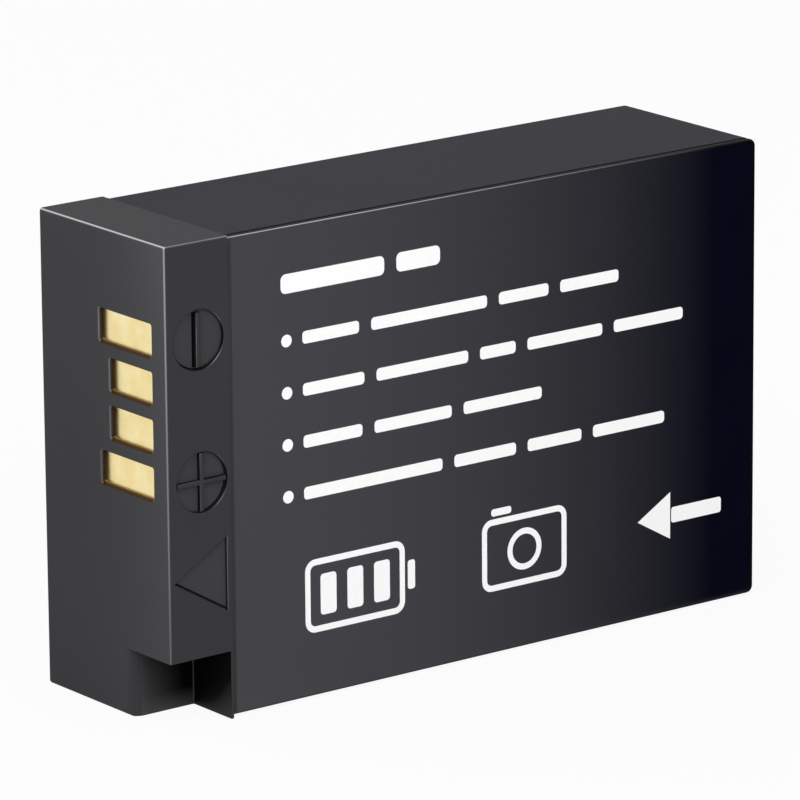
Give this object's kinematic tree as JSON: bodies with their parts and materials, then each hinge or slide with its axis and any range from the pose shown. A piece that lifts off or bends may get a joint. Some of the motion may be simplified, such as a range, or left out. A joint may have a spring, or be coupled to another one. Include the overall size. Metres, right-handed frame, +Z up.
{
  "type": "camera battery",
  "caption": "Flat rectangular rechargeable camera battery with a stepped contact end, recessed gold contacts, a key notch at one corner and a glossy label over its front cover.",
  "frame": {"origin": "middle of the underside of the pack, as it stands on its long narrow side", "axes": "+X along the length, from the contact end to the far end; -Y towards the label; +Z up"},
  "size_m": [0.0494, 0.014, 0.0324],
  "materials": {
    "case_plastic": "fine satin moulding",
    "label_film": "gloss laminate",
    "gold_plate": "gold plated, finely brushed",
    "board_laminate": "solder mask over glass laminate",
    "chip_moulding": "moulded",
    "chip_ceramic": "fired",
    "cell_aluminium": "drawn",
    "nickel": "nickel sheet",
    "gasket_plastic": "moulded",
    "insulating_paper": "plain",
    "adhesive_tape": "plain",
    "foam": "foamed sheet"
  },
  "bodies": {
    "root": {"rear_case": "case_plastic", "front_cover": "case_plastic", "front_label": "label_film", "contact_negative": "gold_plate", "contact_signal_upper": "gold_plate", "contact_signal_lower": "gold_plate", "contact_positive": "gold_plate", "circuit_board": "board_laminate", "switch_transistor": "chip_moulding", "protection_chip": "chip_moulding", "data_chip": "chip_moulding", "temperature_sensor": "chip_ceramic", "chip_resistors": "chip_moulding", "chip_capacitors": "chip_ceramic", "cell_front_can": "cell_aluminium", "cell_front_gasket": "gasket_plastic", "cell_front_terminal": "nickel", "cell_rear_can": "cell_aluminium", "cell_rear_gasket": "gasket_plastic", "cell_rear_terminal": "nickel", "series_link": "nickel", "positive_strip": "nickel", "negative_strip": "nickel", "negative_lead": "nickel", "thermal_cutoff": "chip_moulding", "lid_insulator": "insulating_paper", "cell_tape": "adhesive_tape", "rear_tape": "adhesive_tape", "cover_pad": "foam", "end_pad": "foam"}
  },
  "joints": []
}
